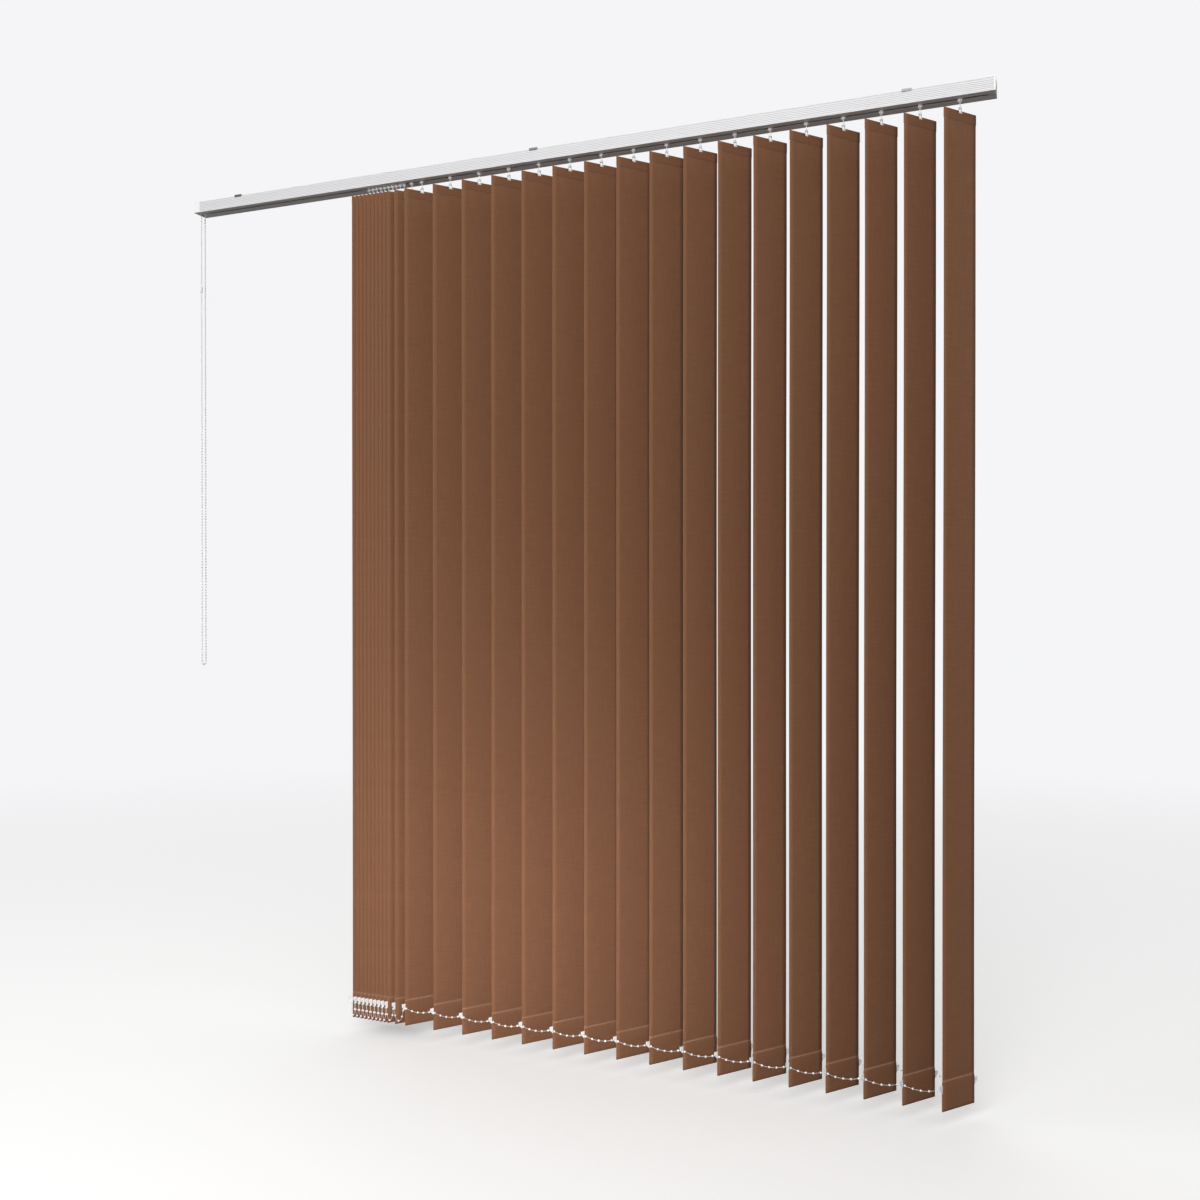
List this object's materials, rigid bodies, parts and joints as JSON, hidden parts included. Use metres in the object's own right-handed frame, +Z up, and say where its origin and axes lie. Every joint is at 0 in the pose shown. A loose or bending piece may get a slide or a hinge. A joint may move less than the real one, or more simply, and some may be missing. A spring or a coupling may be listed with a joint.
{
  "type": "vertical blind",
  "caption": "Vertical blind: aluminium headrail on bracket clips, tall fabric vanes on sliding geared carriers, bottom weights and a looped control chain, drawn partly open.",
  "frame": {"origin": "centre of the mounting plane, the top face of the bracket clips, midway between the outer screw holes", "axes": "+Z up out of the mounting plane, X along the headrail, -Y towards the room"},
  "size_m": [1.98, 0.084, 2.0537],
  "materials": {
    "aluminium_white": "white powder coat",
    "clip_steel": "spring steel",
    "white_plastic": "moulded white",
    "rod_aluminium": "mill",
    "vane_fabric": "fine brown weave"
  },
  "bodies": {
    "rail": {"headrail": "aluminium_white", "brackets": "clip_steel", "end_fittings": "white_plastic", "control_chain": "white_plastic"},
    "tilt_rod": {"tilt_rod": "rod_aluminium"},
    "carrier_01": {"carrier_01": "white_plastic"},
    "carrier_02": {"carrier_02": "white_plastic"},
    "carrier_03": {"carrier_03": "white_plastic"},
    "carrier_04": {"carrier_04": "white_plastic"},
    "carrier_05": {"carrier_05": "white_plastic"},
    "carrier_06": {"carrier_06": "white_plastic"},
    "carrier_07": {"carrier_07": "white_plastic"},
    "carrier_08": {"carrier_08": "white_plastic"},
    "carrier_09": {"carrier_09": "white_plastic"},
    "carrier_10": {"carrier_10": "white_plastic"},
    "carrier_11": {"carrier_11": "white_plastic"},
    "carrier_12": {"carrier_12": "white_plastic"},
    "carrier_13": {"carrier_13": "white_plastic"},
    "carrier_14": {"carrier_14": "white_plastic"},
    "carrier_15": {"carrier_15": "white_plastic"},
    "carrier_16": {"carrier_16": "white_plastic"},
    "carrier_17": {"carrier_17": "white_plastic"},
    "carrier_18": {"carrier_18": "white_plastic"},
    "carrier_19": {"carrier_19": "white_plastic"},
    "carrier_20": {"carrier_20": "white_plastic"},
    "carrier_21": {"carrier_21": "white_plastic"},
    "carrier_22": {"carrier_22": "white_plastic"},
    "carrier_23": {"carrier_23": "white_plastic"},
    "carrier_24": {"carrier_24": "white_plastic"},
    "carrier_25": {"carrier_25": "white_plastic"},
    "carrier_26": {"carrier_26": "white_plastic"},
    "carrier_27": {"carrier_27": "white_plastic"},
    "vane_01": {"vane_01": "vane_fabric"},
    "vane_02": {"vane_02": "vane_fabric"},
    "vane_03": {"vane_03": "vane_fabric"},
    "vane_04": {"vane_04": "vane_fabric"},
    "vane_05": {"vane_05": "vane_fabric"},
    "vane_06": {"vane_06": "vane_fabric"},
    "vane_07": {"vane_07": "vane_fabric"},
    "vane_08": {"vane_08": "vane_fabric"},
    "vane_09": {"vane_09": "vane_fabric"},
    "vane_10": {"vane_10": "vane_fabric"},
    "vane_11": {"vane_11": "vane_fabric"},
    "vane_12": {"vane_12": "vane_fabric"},
    "vane_13": {"vane_13": "vane_fabric"},
    "vane_14": {"vane_14": "vane_fabric"},
    "vane_15": {"vane_15": "vane_fabric"},
    "vane_16": {"vane_16": "vane_fabric"},
    "vane_17": {"vane_17": "vane_fabric"},
    "vane_18": {"vane_18": "vane_fabric"},
    "vane_19": {"vane_19": "vane_fabric"},
    "vane_20": {"vane_20": "vane_fabric"},
    "vane_21": {"vane_21": "vane_fabric"},
    "vane_22": {"vane_22": "vane_fabric"},
    "vane_23": {"vane_23": "vane_fabric"},
    "vane_24": {"vane_24": "vane_fabric"},
    "vane_25": {"vane_25": "vane_fabric"},
    "vane_26": {"vane_26": "vane_fabric"},
    "vane_27": {"vane_27": "vane_fabric"},
    "vane_28": {"vane_28": "vane_fabric"}
  },
  "joints": [
    {"name": "draw_27", "type": "slide", "parent": "rail", "child": "carrier_27", "axis": [-1, 0, 0], "range_m": [-0.0665, 0]},
    {"name": "draw_26", "type": "slide", "parent": "carrier_27", "child": "carrier_26", "axis": [-1, 0, 0], "range_m": [-0.0665, 0]},
    {"name": "draw_25", "type": "slide", "parent": "carrier_26", "child": "carrier_25", "axis": [-1, 0, 0], "range_m": [-0.0665, 0]},
    {"name": "draw_24", "type": "slide", "parent": "carrier_25", "child": "carrier_24", "axis": [-1, 0, 0], "range_m": [-0.0665, 0]},
    {"name": "draw_23", "type": "slide", "parent": "carrier_24", "child": "carrier_23", "axis": [-1, 0, 0], "range_m": [-0.0665, 0]},
    {"name": "draw_22", "type": "slide", "parent": "carrier_23", "child": "carrier_22", "axis": [-1, 0, 0], "range_m": [-0.0665, 0]},
    {"name": "draw_21", "type": "slide", "parent": "carrier_22", "child": "carrier_21", "axis": [-1, 0, 0], "range_m": [-0.0665, 0]},
    {"name": "draw_20", "type": "slide", "parent": "carrier_21", "child": "carrier_20", "axis": [-1, 0, 0], "range_m": [-0.0665, 0]},
    {"name": "draw_19", "type": "slide", "parent": "carrier_20", "child": "carrier_19", "axis": [-1, 0, 0], "range_m": [-0.0665, 0]},
    {"name": "draw_18", "type": "slide", "parent": "carrier_19", "child": "carrier_18", "axis": [-1, 0, 0], "range_m": [-0.0665, 0]},
    {"name": "draw_17", "type": "slide", "parent": "carrier_18", "child": "carrier_17", "axis": [-1, 0, 0], "range_m": [-0.0665, 0]},
    {"name": "draw_16", "type": "slide", "parent": "carrier_17", "child": "carrier_16", "axis": [-1, 0, 0], "range_m": [-0.0665, 0]},
    {"name": "draw_15", "type": "slide", "parent": "carrier_16", "child": "carrier_15", "axis": [-1, 0, 0], "range_m": [-0.0665, 0]},
    {"name": "draw_14", "type": "slide", "parent": "carrier_15", "child": "carrier_14", "axis": [-1, 0, 0], "range_m": [-0.0665, 0]},
    {"name": "draw_13", "type": "slide", "parent": "carrier_14", "child": "carrier_13", "axis": [-1, 0, 0], "range_m": [-0.0665, 0]},
    {"name": "draw_12", "type": "slide", "parent": "carrier_13", "child": "carrier_12", "axis": [-1, 0, 0], "range_m": [-0.0665, 0]},
    {"name": "draw_11", "type": "slide", "parent": "carrier_12", "child": "carrier_11", "axis": [-1, 0, 0], "range_m": [-0.017, 0.0265]},
    {"name": "draw_10", "type": "slide", "parent": "carrier_11", "child": "carrier_10", "axis": [-1, 0, 0], "range_m": [-0.01, 0.0335]},
    {"name": "draw_09", "type": "slide", "parent": "carrier_10", "child": "carrier_09", "axis": [-1, 0, 0], "range_m": [0, 0.0435]},
    {"name": "draw_08", "type": "slide", "parent": "carrier_09", "child": "carrier_08", "axis": [-1, 0, 0], "range_m": [0, 0.0435]},
    {"name": "draw_07", "type": "slide", "parent": "carrier_08", "child": "carrier_07", "axis": [-1, 0, 0], "range_m": [0, 0.0435]},
    {"name": "draw_06", "type": "slide", "parent": "carrier_07", "child": "carrier_06", "axis": [-1, 0, 0], "range_m": [0, 0.0435]},
    {"name": "draw_05", "type": "slide", "parent": "carrier_06", "child": "carrier_05", "axis": [-1, 0, 0], "range_m": [0, 0.0435]},
    {"name": "draw_04", "type": "slide", "parent": "carrier_05", "child": "carrier_04", "axis": [-1, 0, 0], "range_m": [0, 0.0435]},
    {"name": "draw_03", "type": "slide", "parent": "carrier_04", "child": "carrier_03", "axis": [-1, 0, 0], "range_m": [0, 0.0435]},
    {"name": "draw_02", "type": "slide", "parent": "carrier_03", "child": "carrier_02", "axis": [-1, 0, 0], "range_m": [0, 0.0435]},
    {"name": "draw_01", "type": "slide", "parent": "carrier_02", "child": "carrier_01", "axis": [-1, 0, 0], "range_m": [0, 0.0435]},
    {"name": "tilt_01", "type": "hinge", "parent": "carrier_01", "child": "vane_01", "pos_m": [-0.452, -0.003, -0.04], "axis": [0, 0, 1], "range_deg": [-32, 108]},
    {"name": "tilt_02", "type": "hinge", "parent": "carrier_02", "child": "vane_02", "pos_m": [-0.441, -0.003, -0.04], "axis": [0, 0, 1], "range_deg": [-32, 108]},
    {"name": "tilt_03", "type": "hinge", "parent": "carrier_03", "child": "vane_03", "pos_m": [-0.43, -0.003, -0.04], "axis": [0, 0, 1], "range_deg": [-32, 108]},
    {"name": "tilt_04", "type": "hinge", "parent": "carrier_04", "child": "vane_04", "pos_m": [-0.419, -0.003, -0.04], "axis": [0, 0, 1], "range_deg": [-32, 108]},
    {"name": "tilt_05", "type": "hinge", "parent": "carrier_05", "child": "vane_05", "pos_m": [-0.408, -0.003, -0.04], "axis": [0, 0, 1], "range_deg": [-32, 108]},
    {"name": "tilt_06", "type": "hinge", "parent": "carrier_06", "child": "vane_06", "pos_m": [-0.397, -0.003, -0.04], "axis": [0, 0, 1], "range_deg": [-32, 108]},
    {"name": "tilt_07", "type": "hinge", "parent": "carrier_07", "child": "vane_07", "pos_m": [-0.386, -0.003, -0.04], "axis": [0, 0, 1], "range_deg": [-32, 108]},
    {"name": "tilt_08", "type": "hinge", "parent": "carrier_08", "child": "vane_08", "pos_m": [-0.375, -0.003, -0.04], "axis": [0, 0, 1], "range_deg": [-32, 108]},
    {"name": "tilt_09", "type": "hinge", "parent": "carrier_09", "child": "vane_09", "pos_m": [-0.364, -0.003, -0.04], "axis": [0, 0, 1], "range_deg": [-32, 108]},
    {"name": "tilt_10", "type": "hinge", "parent": "carrier_10", "child": "vane_10", "pos_m": [-0.353, -0.003, -0.04], "axis": [0, 0, 1], "range_deg": [-32, 108]},
    {"name": "tilt_11", "type": "hinge", "parent": "carrier_11", "child": "vane_11", "pos_m": [-0.332, -0.003, -0.04], "axis": [0, 0, 1], "range_deg": [-32, 108]},
    {"name": "tilt_12", "type": "hinge", "parent": "carrier_12", "child": "vane_12", "pos_m": [-0.304, -0.003, -0.04], "axis": [0, 0, 1], "range_deg": [-32, 108]},
    {"name": "tilt_13", "type": "hinge", "parent": "carrier_13", "child": "vane_13", "pos_m": [-0.2265, -0.003, -0.04], "axis": [0, 0, 1], "range_deg": [-32, 108]},
    {"name": "tilt_14", "type": "hinge", "parent": "carrier_14", "child": "vane_14", "pos_m": [-0.149, -0.003, -0.04], "axis": [0, 0, 1], "range_deg": [-32, 108]},
    {"name": "tilt_15", "type": "hinge", "parent": "carrier_15", "child": "vane_15", "pos_m": [-0.0715, -0.003, -0.04], "axis": [0, 0, 1], "range_deg": [-32, 108]},
    {"name": "tilt_16", "type": "hinge", "parent": "carrier_16", "child": "vane_16", "pos_m": [0.006, -0.003, -0.04], "axis": [0, 0, 1], "range_deg": [-32, 108]},
    {"name": "tilt_17", "type": "hinge", "parent": "carrier_17", "child": "vane_17", "pos_m": [0.0835, -0.003, -0.04], "axis": [0, 0, 1], "range_deg": [-32, 108]},
    {"name": "tilt_18", "type": "hinge", "parent": "carrier_18", "child": "vane_18", "pos_m": [0.161, -0.003, -0.04], "axis": [0, 0, 1], "range_deg": [-32, 108]},
    {"name": "tilt_19", "type": "hinge", "parent": "carrier_19", "child": "vane_19", "pos_m": [0.2385, -0.003, -0.04], "axis": [0, 0, 1], "range_deg": [-32, 108]},
    {"name": "tilt_20", "type": "hinge", "parent": "carrier_20", "child": "vane_20", "pos_m": [0.316, -0.003, -0.04], "axis": [0, 0, 1], "range_deg": [-32, 108]},
    {"name": "tilt_21", "type": "hinge", "parent": "carrier_21", "child": "vane_21", "pos_m": [0.3935, -0.003, -0.04], "axis": [0, 0, 1], "range_deg": [-32, 108]},
    {"name": "tilt_22", "type": "hinge", "parent": "carrier_22", "child": "vane_22", "pos_m": [0.471, -0.003, -0.04], "axis": [0, 0, 1], "range_deg": [-32, 108]},
    {"name": "tilt_23", "type": "hinge", "parent": "carrier_23", "child": "vane_23", "pos_m": [0.5485, -0.003, -0.04], "axis": [0, 0, 1], "range_deg": [-32, 108]},
    {"name": "tilt_24", "type": "hinge", "parent": "carrier_24", "child": "vane_24", "pos_m": [0.626, -0.003, -0.04], "axis": [0, 0, 1], "range_deg": [-32, 108]},
    {"name": "tilt_25", "type": "hinge", "parent": "carrier_25", "child": "vane_25", "pos_m": [0.7035, -0.003, -0.04], "axis": [0, 0, 1], "range_deg": [-32, 108]},
    {"name": "tilt_26", "type": "hinge", "parent": "carrier_26", "child": "vane_26", "pos_m": [0.781, -0.003, -0.04], "axis": [0, 0, 1], "range_deg": [-32, 108]},
    {"name": "tilt_27", "type": "hinge", "parent": "carrier_27", "child": "vane_27", "pos_m": [0.8585, -0.003, -0.04], "axis": [0, 0, 1], "range_deg": [-32, 108]},
    {"name": "tilt_28", "type": "hinge", "parent": "rail", "child": "vane_28", "pos_m": [0.936, -0.003, -0.04], "axis": [0, 0, 1], "range_deg": [-32, 108]},
    {"name": "rod_turn", "type": "hinge", "parent": "rail", "child": "tilt_rod", "pos_m": [0, 0.0048, -0.0195], "axis": [1, 0, 0], "range_deg": [-384, 1296]}
  ],
  "couplings": [
    {"joint": "tilt_01", "follows": "tilt_28", "ratio": 1},
    {"joint": "tilt_02", "follows": "tilt_28", "ratio": 1},
    {"joint": "tilt_03", "follows": "tilt_28", "ratio": 1},
    {"joint": "tilt_04", "follows": "tilt_28", "ratio": 1},
    {"joint": "tilt_05", "follows": "tilt_28", "ratio": 1},
    {"joint": "tilt_06", "follows": "tilt_28", "ratio": 1},
    {"joint": "tilt_07", "follows": "tilt_28", "ratio": 1},
    {"joint": "tilt_08", "follows": "tilt_28", "ratio": 1},
    {"joint": "tilt_09", "follows": "tilt_28", "ratio": 1},
    {"joint": "tilt_10", "follows": "tilt_28", "ratio": 1},
    {"joint": "tilt_11", "follows": "tilt_28", "ratio": 1},
    {"joint": "tilt_12", "follows": "tilt_28", "ratio": 1},
    {"joint": "tilt_13", "follows": "tilt_28", "ratio": 1},
    {"joint": "tilt_14", "follows": "tilt_28", "ratio": 1},
    {"joint": "tilt_15", "follows": "tilt_28", "ratio": 1},
    {"joint": "tilt_16", "follows": "tilt_28", "ratio": 1},
    {"joint": "tilt_17", "follows": "tilt_28", "ratio": 1},
    {"joint": "tilt_18", "follows": "tilt_28", "ratio": 1},
    {"joint": "tilt_19", "follows": "tilt_28", "ratio": 1},
    {"joint": "tilt_20", "follows": "tilt_28", "ratio": 1},
    {"joint": "tilt_21", "follows": "tilt_28", "ratio": 1},
    {"joint": "tilt_22", "follows": "tilt_28", "ratio": 1},
    {"joint": "tilt_23", "follows": "tilt_28", "ratio": 1},
    {"joint": "tilt_24", "follows": "tilt_28", "ratio": 1},
    {"joint": "tilt_25", "follows": "tilt_28", "ratio": 1},
    {"joint": "tilt_26", "follows": "tilt_28", "ratio": 1},
    {"joint": "tilt_27", "follows": "tilt_28", "ratio": 1},
    {"joint": "rod_turn", "follows": "tilt_28", "ratio": 12}
  ]
}
